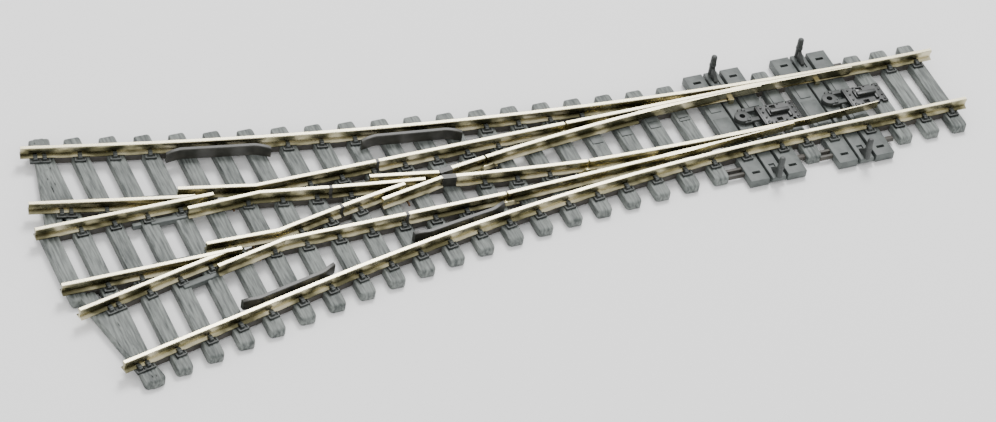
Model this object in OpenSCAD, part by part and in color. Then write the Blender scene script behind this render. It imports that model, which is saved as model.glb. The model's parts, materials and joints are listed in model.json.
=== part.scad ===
// Three-way turnout for 16.5 mm gauge model track: one track divides into three.
// Frame: +X towards the single-track end (toe), +Y to the right of a train that
// leaves the toe, +Z up. The origin is under the middle, on the resting face.
// Drawn with both tie bars at rest, which sets the left-hand route.

/* [Track] */
// Distance between the inner faces of a pair of rails
gauge = 16.5; // [16.2:0.05:16.8]
// Overall length along the straight route
overall_length = 220; // [219:0.5:222]
// Angle between the straight route and each outer route at the heel end
heel_angle = 12.5; // [12.3:0.1:12.6]
// Radius of the right-hand route along its centre line
right_radius = 920; // [915:1:925]
// Radius of the left-hand route along its centre line
left_radius = 622; // [618:1:626]
// Where the right-hand curve begins
right_curve_start = 108; // [107:0.5:109]
// Where the left-hand curve begins
left_curve_start = 75.3; // [75:0.1:76]

/* [Rail] */
// Height of the rail
rail_h = 2.54; // [2.4:0.02:2.6]
// Width of the rail head
head_w = 1.0; // [0.9:0.02:1.02]
// Width of the rail foot
foot_w = 2.1; // [1.9:0.05:2.2]
// Thickness of the rail web
web_w = 0.55; // [0.45:0.05:0.6]
// Gap between the heel of a blade and the rail that follows it
rail_gap = 0.5; // [0.4:0.05:0.6]
// Gap between two rails that a moulded filler keeps apart
filler_gap = 0.8; // [0.7:0.05:0.9]

/* [Sleepers] */
// Height of a sleeper
sleeper_h = 2.0; // [1.8:0.1:2.2]
// Width of a sleeper along the track
sleeper_w = 3.75; // [3.5:0.05:3.9]
// Distance from one sleeper to the next
sleeper_pitch = 7.57; // [7.5:0.01:7.6]
// How far a sleeper reaches past the middle of its outer rail
sleeper_over = 5.9; // [5.5:0.1:6.2]
// Height of the moulded seat under a rail
seat_h = 0.26; // [0.2:0.02:0.3]

/* [Switches] */
// Place of the first tie bar, which works the right-hand route
first_bar_x = 79.65; // [79.3:0.05:80]
// Place of the second tie bar, which works the left-hand route
second_bar_x = 57; // [56.8:0.1:57.2]
// Travel of the first tie bar
first_throw = 3.4; // [3.3:0.05:3.4]
// Travel of the second tie bar
second_throw = 2.3; // [2.2:0.05:2.3]
// Bore in each tie bar boss for the drive pin
pin_bore_d = 1.4; // [1.2:0.1:1.6]
// Distance along the track between the two fixing slots of a plate
slot_pitch = 9.3; // [9:0.1:9.5]
// Distance across the track between the fixing slots
slot_span = 31.1; // [30.8:0.1:31.4]
// Length of a fixing slot, along the track
slot_l = 2.0; // [1.8:0.1:2.2]
// Width of a fixing slot
slot_w = 0.8; // [0.7:0.05:0.9]

/* [Hidden] */

STRAIGHT = 0;
RIGHT = 1;
LEFT = -1;
METAL = "darkkhaki";
PLASTIC = "slategray";
BLACK = [0.12, 0.12, 0.12];
arc_fn = 1440;          // facets of a full circle on the route arcs
lap = 0.05;             // overlap of two stretches of one piece
bend_lap = 0.2;         // the same at a bend
slim = 0.98;            // share of its width that a lapping stretch keeps
lower = 0.01;           // drop of the top of a lapping stretch
half_l = overall_length / 2;
mid = gauge / 2 + head_w / 2;       // route centre to rail centre
z_foot = sleeper_h + seat_h;
z_top = z_foot + rail_h;
foot_t = 0.5;           // height at which the foot has become the web
seat_clear = 0.07;      // side clearance of a rail foot in its chair
fit = 0.06;             // gap between a closed blade and the rail beside it
tip_t = 0.25;           // thickness of a blade at its tip
bar_z = z_foot + 0.6;   // underside of the planed end of a blade

// Places along the track, from toe to heel
first_tip_right_x = 88.5;
first_tip_left_x = 89;
second_tip_right_x = 64.7;
second_tip_left_x = 66.6;
first_heel_x = 15.5;
second_heel_x = -6.6;
knuckle_x = -17.1;
centre_nose_x = -22.6;
centre_wing_end_x = -34;
straight_gap_x = -30.7;
curved_gap_x = -43.8;
wing_bend_x = -59.5;
wing_end_x = -76.2;
outer_nose_x = -69.4;
heel_end_x = -105;
insulator_l = 3.2;

// Sleeper places: the even run from the heel, then those around the switches
even_count = 20;
even_first_x = -99.8;
plain_xs = concat([for (i = [0:even_count - 1]) even_first_x + i * sleeper_pitch],
    [68, 91.9, 98.95, 106.1]);
plate_half_in = 2.35;   // half the channel between two plate sleepers
plate_w = 4.75;
plate_end_y = 18.2;

// ---- route geometry ----
function start_x(r) = r == RIGHT ? right_curve_start : left_curve_start;
function route_radius(r) = r == RIGHT ? right_radius : left_radius;
// radius of the line at offset off from the route's centre line
function line_radius(r, off) = route_radius(r) - r * off;
// angle turned from the curve's start to the place x on that line
function turned(r, off, x) = r == STRAIGHT ? 0 :
    let (ratio = (start_x(r) - x) / line_radius(r, off))
    ratio <= 0 ? 0 : ratio >= sin(heel_angle) ? heel_angle : asin(ratio);
// where the curve ends on that line
function curve_end_x(r, off) = start_x(r) - line_radius(r, off) * sin(heel_angle);
function curve_y(r, off, a) = r * (route_radius(r) - line_radius(r, off) * cos(a));
// across-track place of the line at x
function line_y(r, off, x) = r == STRAIGHT || x >= start_x(r) ? off :
    curve_y(r, off, turned(r, off, x)) +
    (x < curve_end_x(r, off) ? r * (curve_end_x(r, off) - x) * tan(heel_angle) : 0);
// turn of the line at x, as a rotation about Z
function line_turn(r, off, x) = -r * turned(r, off, x);

// Sweeps a section along a line from x = xa down to x = xb. The section's first
// axis is across the track towards +Y, and its second axis is up.
module along(r, off, xa, xb) {
    if (r == STRAIGHT) {
        translate([xb, off, 0]) rotate([90, 0, 90]) linear_extrude(xa - xb) children();
    } else {
        if (xa > start_x(r))
            translate([max(xb, start_x(r) - lap), off, 0]) rotate([90, 0, 90])
                linear_extrude(xa - max(xb, start_x(r) - lap)) scale([slim, 1]) children();
        a1 = turned(r, off, xa);
        a2 = turned(r, off, xb);
        if (a2 > a1)
            translate([start_x(r), r * route_radius(r), 0])
                rotate([0, 0, r == RIGHT ? -90 - a2 : 90 + a1])
                    rotate_extrude(angle = a2 - a1, $fn = arc_fn)
                        translate([line_radius(r, off), 0])
                            mirror([r == RIGHT ? 1 : 0, 0]) children();
        if (xb < curve_end_x(r, off)) {
            end_x = min(xa, curve_end_x(r, off));
            run = (end_x - xb) / cos(heel_angle);
            translate([end_x, line_y(r, off, end_x), 0]) rotate([0, 0, -r * heel_angle])
                translate([-run, 0, 0]) rotate([90, 0, 90]) linear_extrude(run + lap)
                    scale([slim, 1]) children();
        }
    }
}

// ---- sections ----
// Flat-bottomed rail, standing on its seat
module rail_section() {
    half = [[foot_w / 2, 0], [foot_w / 2, 0.2], [web_w / 2, foot_t], [web_w / 2, 1.62],
        [head_w / 2, 1.84], [head_w / 2, rail_h - 0.12], [head_w / 2 - 0.12, rail_h]];
    last = len(half) - 1;
    translate([0, z_foot])
        polygon(concat(half, [for (i = [last:-1:0]) [-half[i][0], half[i][1]]]));
}

// The same for a stretch that laps another at a bend
module slim_rail_section() {
    translate([0, z_foot]) scale([slim, 1 - lower / rail_h]) translate([0, -z_foot])
        rail_section();
}

module block_section(w, z0, z1, shift = 0) {
    translate([shift - w / 2, z0]) square([w, z1 - z0]);
}

// What a rail takes up, and everything beyond it on the side out (+1 or -1)
module beyond_section(out) {
    head_face = -head_w / 2 - fit;
    foot_face = -foot_w / 2 - fit;
    low = z_foot - 1;
    high = z_top + 1;
    step = z_foot + foot_t + 0.05;
    scale([out, 1]) polygon([[foot_face, low], [9, low], [9, high],
        [head_face, high], [head_face, step], [foot_face, step]]);
}

module rail(r, off, xa, xb) {
    along(r, off, xa, xb) rail_section();
}

// Room for a rail foot and everything above it
module rail_room(r, off, xa, xb) {
    along(r, off, xa, xb) block_section(foot_w + 2 * seat_clear, z_foot, z_top + 1);
}

// A straight length of rail from p, where it laps the rail before it, to q
module rail_between(p, q) {
    d = q - p;
    translate([p[0], p[1], 0]) rotate([0, 0, atan2(d[1], d[0])])
        translate([-bend_lap, 0, 0]) rotate([90, 0, 90]) linear_extrude(norm(d) + bend_lap)
            slim_rail_section();
}

module room_between(p, q) {
    d = q - p;
    translate([p[0], p[1], 0]) rotate([0, 0, atan2(d[1], d[0])])
        translate([-0.2, -foot_w / 2 - seat_clear, z_foot])
            cube([norm(d) + 0.4, foot_w + 2 * seat_clear, rail_h + 1]);
}

// ---- rails that stay still ----
module stock_rail_right() {
    color(METAL) rail(RIGHT, mid, half_l, heel_end_x);
}

module stock_rail_left() {
    color(METAL) rail(LEFT, -mid, half_l, heel_end_x);
}

module closure_rail_right() {
    color(METAL) rail(STRAIGHT, mid, first_heel_x - rail_gap, straight_gap_x + filler_gap / 2);
}

module closure_rail_left() {
    color(METAL) rail(STRAIGHT, -mid, second_heel_x - rail_gap, straight_gap_x + filler_gap / 2);
}

module inner_closure_right() {
    color(METAL) rail(LEFT, mid, second_heel_x - rail_gap, knuckle_x + insulator_l / 2);
}

module inner_closure_left() {
    color(METAL) rail(RIGHT, -mid, first_heel_x - rail_gap, knuckle_x + insulator_l / 2);
}

// ---- outer frogs: side +1 is the right-hand route's frog, -1 the left-hand one's ----
// Running rail of the straight route, with the nose planed on its outer side
module frog_point(side) {
    rail(STRAIGHT, side * mid, outer_nose_x, -half_l);
}

// Rail of the curved route, planed to lie against the point rail
module frog_splice(side) {
    splice_x = outer_nose_x - 4;
    difference() {
        rail(side, -side * mid, splice_x, -half_l + 1.2);
        along(STRAIGHT, side * mid, outer_nose_x + 5, -half_l - 5)
            beyond_section(-side);
    }
}

// Straight-route rail that turns outwards beside the splice rail
module outer_wing(side) {
    bend = [wing_bend_x, side * mid];
    end = [wing_end_x, side * (mid + (wing_bend_x - wing_end_x) * tan(heel_angle))];
    rail(STRAIGHT, side * mid, straight_gap_x - filler_gap / 2, wing_bend_x);
    rail_between(bend, end);
}

function inner_bend(side) = [wing_bend_x, line_y(side, -side * mid, wing_bend_x)];
function inner_end(side) = [wing_end_x, inner_bend(side)[1] - side * 0.45];

// Curved-route rail that turns to run beside the point rail
module inner_wing(side) {
    rail(side, -side * mid, curved_gap_x - filler_gap / 2, wing_bend_x);
    rail_between(inner_bend(side), inner_end(side));
}

module right_frog_point_rail() { color(METAL) frog_point(1); }
module right_frog_splice_rail() { color(METAL) frog_splice(1); }
module right_frog_outer_wing() { color(METAL) outer_wing(1); }
module right_frog_inner_wing() { color(METAL) inner_wing(1); }
module left_frog_point_rail() { color(METAL) frog_point(-1); }
module left_frog_splice_rail() { color(METAL) frog_splice(-1); }
module left_frog_outer_wing() { color(METAL) outer_wing(-1); }
module left_frog_inner_wing() { color(METAL) inner_wing(-1); }

// ---- centre frog: where the inner rails of both curved routes cross ----
module centre_frog_point_rail() {
    color(METAL) difference() {
        rail(RIGHT, -mid, centre_nose_x, curved_gap_x + filler_gap / 2);
        for (r = [RIGHT, LEFT]) wing_foot_room(r);
    }
}

module centre_frog_splice_rail() {
    color(METAL) difference() {
        rail(LEFT, mid, centre_nose_x - 5, curved_gap_x + filler_gap / 2);
        along(RIGHT, -mid, centre_nose_x + 5, curved_gap_x - 5) beyond_section(1);
        wing_foot_room(RIGHT);
    }
}

wing_start_x = knuckle_x - insulator_l / 2 - 0.12;
function wing_root(r) = [wing_start_x, line_y(r, r == LEFT ? mid : -mid, wing_start_x)];
// each wing runs beside the vee rail that leaves the knuckle on the same side
function wing_tip(r) = [centre_wing_end_x,
    wing_root(r)[1] - r * (wing_start_x - centre_wing_end_x) * 0.19];

module centre_wing(r) {
    color(METAL) rail_between(wing_tip(r), wing_root(r));
}

// What the foot of a wing takes up, so that the rails of the vee are planed clear of it
module wing_foot_room(r) {
    d = wing_root(r) - wing_tip(r);
    w = foot_w + 2 * fit;
    translate([wing_tip(r)[0], wing_tip(r)[1], z_foot - 1]) rotate([0, 0, atan2(d[1], d[0])])
        translate([-bend_lap - 0.2, -w / 2, 0]) cube([norm(d), w, 1 + foot_t + 0.05]);
}

module centre_frog_wing_right() { centre_wing(LEFT); }
module centre_frog_wing_left() { centre_wing(RIGHT); }

// Moulded block that joins and insulates a wing and a closure rail at the knuckle
module knuckle_insulator(r) {
    off = r == LEFT ? mid : -mid;
    air = 0.03;
    color(BLACK) along(r, off, knuckle_x + insulator_l / 2 - air,
        knuckle_x - insulator_l / 2 + air) block_section(1.3, z_foot, z_top - 0.06);
}

module knuckle_insulator_right() { knuckle_insulator(LEFT); }
module knuckle_insulator_left() { knuckle_insulator(RIGHT); }

module filler(r, off, x) {
    air = 0.03;
    along(r, off, x + filler_gap / 2 - air, x - filler_gap / 2 + air) union() {
        block_section(foot_w - 0.1, z_foot, z_foot + 0.3);
        block_section(head_w - 0.1, z_foot, z_top - 0.08);
    }
}

module gap_fillers() {
    color(BLACK) {
        filler(STRAIGHT, mid, straight_gap_x);
        filler(STRAIGHT, -mid, straight_gap_x);
        filler(RIGHT, -mid, curved_gap_x);
        filler(LEFT, mid, curved_gap_x);
    }
}

// ---- check rails: moulded strips with flared ends, beside the stock rails ----
check_t = 1.0;
check_way = 1.35;       // flangeway between stock rail and check rail
check_l = 23;
check_flare_l = 3.5;
check_flare = 1.1;
check_heel_x = -51.6;
check_middle_x = -8.3;

module check_rail(side, x0) {
    off = side * (gauge / 2 - check_way - check_t / 2);
    r = side;
    flat_a = x0 - check_flare_l;
    flat_b = x0 - check_l + check_flare_l;
    root = check_t * slim;
    color(BLACK) {
        along(r, off, flat_a, flat_b) block_section(check_t, sleeper_h, z_top);
        for (end = [0, 1]) {
            x = end == 0 ? flat_a : flat_b;
            out = end == 0 ? 1 : -1;
            translate([x, line_y(r, off, x), 0]) rotate([0, 0, line_turn(r, off, x)])
                translate([0, 0, sleeper_h]) linear_extrude(z_top - sleeper_h)
                    polygon([[-out * lap, -root / 2], [-out * lap, root / 2],
                        [out * check_flare_l, root / 2 - side * check_flare],
                        [out * check_flare_l, -root / 2 - side * check_flare]]);
        }
    }
}

module check_room(side, x0) {
    off = side * (gauge / 2 - check_way - check_t / 2);
    along(side, off - side * check_flare / 2, x0 + 0.3, x0 - check_l - 0.3)
        block_section(check_t + check_flare + 0.3, sleeper_h, z_top + 1);
}

module check_rail_right_heel() { check_rail(1, check_heel_x); }
module check_rail_right_middle() { check_rail(1, check_middle_x); }
module check_rail_left_heel() { check_rail(-1, check_heel_x); }
module check_rail_left_middle() { check_rail(-1, check_middle_x); }

// ---- blades ----
// A blade is [route, offset, tip, heel, bar end, neighbour's route, neighbour's offset,
// side of the neighbour (+1 or -1), extra planing behind the tip beside it].
// From its heel to the bar end it is whole rail, and on to the tip it is planed.
BLADE_1R = [STRAIGHT, mid, first_tip_right_x, first_heel_x, 57.5, RIGHT, mid, 1, 0];
BLADE_1L = [RIGHT, -mid, first_tip_left_x, first_heel_x, 50, STRAIGHT, -mid, -1, 0.25];
BLADE_2R = [LEFT, mid, second_tip_right_x, second_heel_x, 33, STRAIGHT, mid, 1, 0];
BLADE_2L = [STRAIGHT, -mid, second_tip_left_x, second_heel_x, 33, LEFT, -mid, -1, 0];
crowd_end_x = 69;       // the first left blade is planed extra up to here
bar_steps = 24;
bar_half = head_w * slim / 2;

// outer face of the planed bar at x: its own side, or just short of the neighbour
function wall_face(b, x) = line_y(b[5], b[6], x) - b[7] * (head_w / 2 + fit +
    (x < crowd_end_x ? b[8] : 0));
function bar_outer(b, x) = b[7] * min(b[7] * line_y(b[0], b[1], x) + bar_half,
    b[7] * wall_face(b, x));
function bar_inner(b, x) = b[7] * min(b[7] * line_y(b[0], b[1], x) - bar_half,
    b[7] * bar_outer(b, x) - tip_t);

module planed_bar(b) {
    x_end = b[4] - bend_lap;
    xs = [for (i = [0:bar_steps]) b[2] + (x_end - b[2]) * i / bar_steps];
    last = bar_steps;
    translate([0, 0, bar_z]) linear_extrude(z_top - lower - bar_z)
        polygon(concat([for (x = xs) [x, bar_outer(b, x)]],
            [for (i = [last:-1:0]) [xs[i], bar_inner(b, xs[i])]]));
}

module blade(b, lug_x) {
    difference() {
        rail(b[0], b[1], b[4], b[3]);
        along(b[5], b[6] - b[7] * b[8], b[4] + 1, b[3] - 1) beyond_section(b[7]);
    }
    planed_bar(b);
    lug(b, lug_x);
}

lug_l = 1.2;
lug_w = 0.6;
lug_z0 = 1.1;
lug_t = 0.3;            // thickness of the bracket from the blade to its lug
lug_air = 0.1;          // from a lug to the foot of the rail beside the blade

// middle of the lug across the track, with the blade closed
function lug_y(b, x) = line_y(b[5], b[6], x) - b[7] * (foot_w / 2 + lug_air + lug_w / 2);

// Bracket under the planed bar and the lug that hangs from it into the tie bar
module lug(b, x) {
    reach = b[7] * (bar_inner(b, x) - lug_y(b, x)) + 0.15;
    translate([x - lug_l / 2, lug_y(b, x), 0]) scale([1, b[7], 1]) {
        translate([0, -lug_w / 2, lug_z0]) cube([lug_l, lug_w, bar_z + lug_t - lug_z0]);
        translate([0, -lug_w / 2, bar_z]) cube([lug_l, reach + lug_w / 2, lug_t]);
    }
}
first_arm = first_bar_x - first_heel_x;
second_arm = second_bar_x - second_heel_x;
first_open = atan(first_throw / first_arm);
second_open = atan(second_throw / second_arm);

// Swings its children about the heel of a blade, opening towards +Y
module swung(x, y, a) {
    translate([x, y, 0]) rotate([0, 0, a]) translate([-x, -y, 0]) children();
}

module first_blade_right() { color(METAL) blade(BLADE_1R, first_bar_x); }

module first_blade_left() {
    notch_l = lug_l + 1.6;
    color(METAL) swung(first_heel_x, line_y(RIGHT, -mid, first_heel_x), first_open)
        difference() {
            blade(BLADE_1L, first_bar_x);
            // clears the lug of the second left blade, which passes below
            translate([second_bar_x - notch_l / 2, -9, z_foot - 1])
                cube([notch_l, 4, bar_z + lug_t + 0.12 - z_foot + 1]);
        }
}

module second_blade_right() { color(METAL) blade(BLADE_2R, second_bar_x); }

module second_blade_left() {
    color(METAL) swung(second_heel_x, -mid, second_open) blade(BLADE_2L, second_bar_x);
}

// Room swept by the blades above the slide plates, short of the stock rails' seats
slide_air = 0.06;
module blade_room() {
    x0 = first_heel_x - 2.5;
    x1 = first_tip_left_x + 2;
    steps = 12;
    xs = [for (i = [0:steps]) x0 + (x1 - x0) * i / steps];
    function edge(x, side) = side * min(mid + foot_w / 2 + 0.1,
        side * line_y(side, side * mid, x) - foot_w / 2 - 0.02);
    translate([0, 0, z_foot - slide_air]) linear_extrude(6)
        polygon(concat([for (x = xs) [x, edge(x, RIGHT)]],
            [for (i = [steps:-1:0]) [xs[i], edge(xs[i], LEFT)]]));
    // beside the heels only the second blades move
    along(LEFT, mid, x0 + 0.1, second_heel_x - 2.7)
        block_section(foot_w + 0.95, z_foot - slide_air, z_foot + 5, -0.33);
    along(STRAIGHT, -mid, x0 + 0.1, second_heel_x - 2.7)
        block_section(foot_w + 0.95, z_foot - slide_air, z_foot + 5, 0.33);
}

// ---- heel clips: folded metal channels in which the blades turn ----
clip_l = 5.2;
clip_t = 0.25;
clip_air = 0.13;
clip_h = 0.95;

module heel_clip(r, off, x, turn) {
    half = foot_w / 2 + clip_air;
    color("goldenrod") swung(x, line_y(r, off, x), turn)
        translate([x, line_y(r, off, x), 0]) rotate([0, 0, line_turn(r, off, x)])
            rotate([90, 0, 90]) translate([0, 0, -clip_l / 2]) linear_extrude(clip_l)
                translate([0, z_foot - 0.04 - clip_t]) {
                    translate([-half - clip_t, 0]) square([2 * half + 2 * clip_t, clip_t]);
                    for (s = [-1, 1])
                        translate([s * (half + clip_t / 2) - clip_t / 2, 0])
                            square([clip_t, clip_h]);
                }
}

// Rivet that the blade and its clip turn on
module heel_pin(r, off, x) {
    color("goldenrod") translate([x, line_y(r, off, x), z_foot - 0.04 - clip_t - 0.3])
        cylinder(d = 1.2, h = 0.3, $fn = 32);
}

module clip_at(r, off, x) {
    heel_clip(r, off, x, 0);
    heel_pin(r, off, x);
}

module first_clip_right() { clip_at(STRAIGHT, mid, first_heel_x); }
module first_clip_left() { clip_at(RIGHT, -mid, first_heel_x); }
module second_clip_right() { clip_at(LEFT, mid, second_heel_x); }
module second_clip_left() { clip_at(STRAIGHT, -mid, second_heel_x); }

module clip_room(r, off, x) {
    translate([x, line_y(r, off, x), 0]) rotate([0, 0, line_turn(r, off, x)])
        translate([-clip_l / 2 - 0.3, -foot_w / 2 - 0.9, 1.55])
            cube([clip_l + 0.6, foot_w + 1.8, 9]);
}

// ---- tie bars ----
bar_w = 3.4;
bar_z0 = 0.6;
bar_z1 = 1.85;
bar_half_y = 18.4;
post_y = 17.8;
post_d = 1.3;
post_top = 7.4;
boss_y = 1.5;
boss_d = 3.6;
boss_top = 3.0;
lug_plate_z = [2.1, 2.6];

// Slot for a blade's lug, with the blade open by open_by towards +Y
module lug_hole(b, x, open_by) {
    y = lug_y(b, x) + open_by;
    translate([x - lug_l / 2 - 0.25, y - lug_w / 2 - 0.15, bar_z0 - 1])
        cube([lug_l + 0.5, lug_w + 0.3, 9]);
}

module tie_bar(x) {
    difference() {
        union() {
            translate([x - bar_w / 2, -bar_half_y, bar_z0])
                cube([bar_w, 2 * bar_half_y, bar_z1 - bar_z0]);
            // drive boss and the plate that the spring hooks onto
            translate([x, boss_y, bar_z0]) cylinder(d = boss_d, h = boss_top - bar_z0, $fn = 48);
            translate([x - 0.2, boss_y - 2, bar_z1 - 0.3]) cube([1.9, 4.6, 1.05]);
            translate([x + 0.2, boss_y - 2, lug_plate_z[0]])
                cube([3.6, 4.6, lug_plate_z[1] - lug_plate_z[0]]);
            for (s = [-1, 1]) {
                // upright post with a buttress on its inner side
                translate([x - post_d / 2, s * post_y - post_d / 2, bar_z0])
                    cube([post_d, post_d, post_top - bar_z0]);
                translate([x - 0.35, s * post_y, bar_z0]) rotate([90, 0, 90])
                    linear_extrude(0.7) polygon([[0, 0], [-s * 2, 0], [-s * 2, bar_z1 - bar_z0],
                        [-s * 0.6, 4.2], [0, 4.2]]);
            }
        }
        translate([x, boss_y, -1]) cylinder(d = pin_bore_d, h = 9, $fn = 48);
        children();
    }
}

module first_tie_bar() {
    color(PLASTIC) tie_bar(first_bar_x) {
        lug_hole(BLADE_1R, first_bar_x, 0);
        lug_hole(BLADE_1L, first_bar_x, first_throw);
    }
}

module second_tie_bar() {
    color(PLASTIC) tie_bar(second_bar_x) {
        lug_hole(BLADE_2R, second_bar_x, 0);
        lug_hole(BLADE_2L, second_bar_x, second_throw);
    }
}

// ---- over-centre springs and their covers ----
wire_d = 0.4;
loop_r = 1.1;
spring_z = 1.6;
cover_near = 4.2;       // near edge of the cover, from its tie bar
cover_l = 9.6;
cover_y = [-2.3, 3.9];
cover_z = [2.0, 2.65];

// Bent wire: a loop with two legs that end at the tie bar and in the base
module spring(bar_x) {
    loop_x = bar_x + 9;
    loop_y = boss_y - 0.6;
    leg = 3.4;
    mouth = 50;
    color("silver") {
        translate([loop_x, loop_y, spring_z]) rotate([0, 0, 180 + mouth / 2])
            rotate_extrude(angle = 360 - mouth, $fn = 48) translate([loop_r, 0])
                circle(d = wire_d, $fn = 24);
        for (s = [-1, 1])
            translate([loop_x, loop_y, spring_z]) rotate([0, 0, 180 + s * mouth / 2])
                translate([loop_r, 0, 0]) rotate([90, 0, 0]) rotate([0, 90, 0])
                    cylinder(d = wire_d, h = leg, $fn = 24);
    }
}

module first_spring() { spring(first_bar_x); }
module second_spring() { spring(second_bar_x); }

module spring_room(bar_x) {
    translate([bar_x + 2.3, cover_y[0] + 0.4, 1.2]) cube([cover_l + 0.6, 5.4, 9]);
}

module spring_cover(bar_x) {
    x0 = bar_x + cover_near;
    hole_d = 1.0;
    rib = [4.6, 1.0, 0.95];
    color([0.25, 0.26, 0.26]) difference() {
        union() {
            translate([x0, cover_y[0], cover_z[0]])
                cube([cover_l, cover_y[1] - cover_y[0], cover_z[1] - cover_z[0]]);
            translate([x0 + 2.8, 0.3, cover_z[0]]) cube([rib[0], rib[1], rib[2] + 0.65]);
        }
        for (y = [cover_y[0] + 1, cover_y[1] - 1])
            translate([x0 + 4.2, y, 0]) cylinder(d = hole_d, h = 9, $fn = 32);
    }
}

module first_spring_cover() { spring_cover(first_bar_x); }
module second_spring_cover() { spring_cover(second_bar_x); }

// ---- bonding wires, laid across under the rails between two sleepers ----
module bond_wire(x, y0, y1) {
    d = 0.5;
    color("tomato") translate([x, y0, z_foot - d / 2 - 0.01]) rotate([-90, 0, 0])
        cylinder(d = d, h = y1 - y0, $fn = 24);
}

bond_outer_x = even_first_x + 4.5 * sleeper_pitch;
bond_centre_x = even_first_x + 9.5 * sleeper_pitch;
module bond_wire_right() { bond_wire(bond_outer_x, 5, 11); }
module bond_wire_left() { bond_wire(bond_outer_x, -11, -5); }
module bond_wire_centre() { bond_wire(bond_centre_x, -4, 5); }

// ---- sleeper base ----
function right_y(x) = line_y(RIGHT, mid, x);
function left_y(x) = line_y(LEFT, -mid, x);

module plain_sleeper(x) {
    y0 = left_y(x) - sleeper_over;
    y1 = right_y(x) + sleeper_over;
    translate([x - sleeper_w / 2, y0, 0]) cube([sleeper_w, y1 - y0, sleeper_h]);
}

module plate_pair(bar_x) {
    for (s = [-1, 1])
        translate([bar_x + s * (plate_half_in + plate_w / 2) - plate_w / 2, -plate_end_y, 0])
            cube([plate_w, 2 * plate_end_y, sleeper_h]);
    // floor of the channel at its two ends, and a bridge under the middle
    for (y = [-plate_end_y + 0.4, plate_end_y - 6.4])
        translate([bar_x - plate_half_in - 0.1, y, 0]) cube([2 * plate_half_in + 0.2, 6, 0.45]);
}

module fixing_slots(bar_x) {
    for (sx = [-1, 1], sy = [-1, 1])
        translate([bar_x + sx * slot_pitch / 2, sy * slot_span / 2, -1]) {
            straight = slot_l - slot_w;
            translate([-straight / 2, -slot_w / 2, 0]) cube([straight, slot_w, 9]);
            for (e = [-1, 1])
                translate([e * straight / 2, 0, 0]) cylinder(d = slot_w, h = 9, $fn = 32);
        }
}

// Angled sleeper at the heel end of an outer route, square to that route
module end_sleeper(side) {
    x = heel_end_x + 3.2;
    y = line_y(side, 0, x);
    reach = mid + sleeper_over;
    translate([x, y, 0]) rotate([0, 0, -side * heel_angle])
        translate([-sleeper_w / 2, -reach, 0]) cube([sleeper_w, 2 * reach, sleeper_h]);
}

module heel_sleeper() {
    reach = mid + 3;
    translate([-106.7 - sleeper_w / 2, -reach, 0]) cube([sleeper_w, 2 * reach, sleeper_h]);
}

// Chair: a low block across the rail at the place x on a line
chair_w = 4.0;
chair_l = 2.3;
chair_h = 0.85;
module chair(r, off, x, inner = true, outer = true) {
    s = off > 0 ? 1 : -1;
    lo = (s > 0 ? inner : outer) ? chair_w / 2 : foot_w / 2;
    hi = (s > 0 ? outer : inner) ? chair_w / 2 : foot_w / 2;
    translate([x, line_y(r, off, x), sleeper_h - 0.3]) rotate([0, 0, line_turn(r, off, x)])
        translate([-chair_l / 2, -lo, 0]) cube([chair_l, lo + hi, chair_h + 0.3]);
}

// Low seat under the centre frog, where the rails stand too close for chairs
function at_centre_frog(x) = x < knuckle_x + 1 && x > centre_wing_end_x;
module frog_seat(x) {
    translate([x - chair_l / 2, -5, sleeper_h - 0.3]) cube([chair_l, 10, seat_h + 0.28]);
}

all_xs = concat(plain_xs,
    [for (b = [first_bar_x, second_bar_x], s = [-1, 1]) b + s * (plate_half_in + plate_w / 2)]);

module chairs() {
    for (x = all_xs) {
        chair(RIGHT, mid, x, x < 30 || x > 95, true);
        chair(LEFT, -mid, x, x < 7 || x > 95, true);
        if (x < first_heel_x - 1) chair(STRAIGHT, mid, x);
        if (x < second_heel_x - 1) chair(STRAIGHT, -mid, x);
        if (x < first_heel_x - 1 && !at_centre_frog(x)) chair(RIGHT, -mid, x);
        if (x < second_heel_x - 1 && !at_centre_frog(x)) chair(LEFT, mid, x);
        if (at_centre_frog(x)) frog_seat(x);
    }
    for (side = [-1, 1], off = [-mid, mid]) chair(side, off, heel_end_x + 3.2);
}

// Webs that join the sleepers under each rail
module webs() {
    z0 = 0.5;
    z1 = 1.5;
    w = 1.7;
    along(RIGHT, mid, 106, -100) block_section(w, z0, z1);
    along(LEFT, -mid, 106, -100) block_section(w, z0, z1);
    along(STRAIGHT, mid, 46, -106) block_section(w, z0, z1);
    along(STRAIGHT, -mid, 46, -106) block_section(w, z0, z1);
    along(RIGHT, -mid, 20, -104) block_section(w, z0, z1);
    along(LEFT, mid, 20, -104) block_section(w, z0, z1);
    for (s = [-1, 1], bar = [first_bar_x, second_bar_x])
        translate([bar + plate_half_in + 1, s * 13 - 0.5, z0]) cube([12, 1, z1 - z0]);
    for (x = [45, 69], y = [-13, -14.6])
        translate([x, y - 0.35, z0]) cube([5.4, 0.7, z1 - z0]);
}

module fixed_rail_rooms() {
    rail_room(RIGHT, mid, half_l + 1, heel_end_x - 1);
    rail_room(LEFT, -mid, half_l + 1, heel_end_x - 1);
    for (s = [-1, 1]) {
        rail_room(STRAIGHT, s * mid, s > 0 ? first_heel_x : second_heel_x, -half_l - 1);
        room_between([wing_end_x, s * (mid + (wing_bend_x - wing_end_x) * tan(heel_angle))],
            [wing_bend_x, s * mid]);
        room_between(inner_end(s), inner_bend(s));
        for (x = [check_heel_x, check_middle_x]) check_room(s, x);
    }
    rail_room(RIGHT, -mid, first_heel_x, -half_l - 1);
    rail_room(LEFT, mid, second_heel_x, -half_l - 1);
    for (r = [RIGHT, LEFT]) room_between(wing_tip(r), wing_root(r));
}

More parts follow.
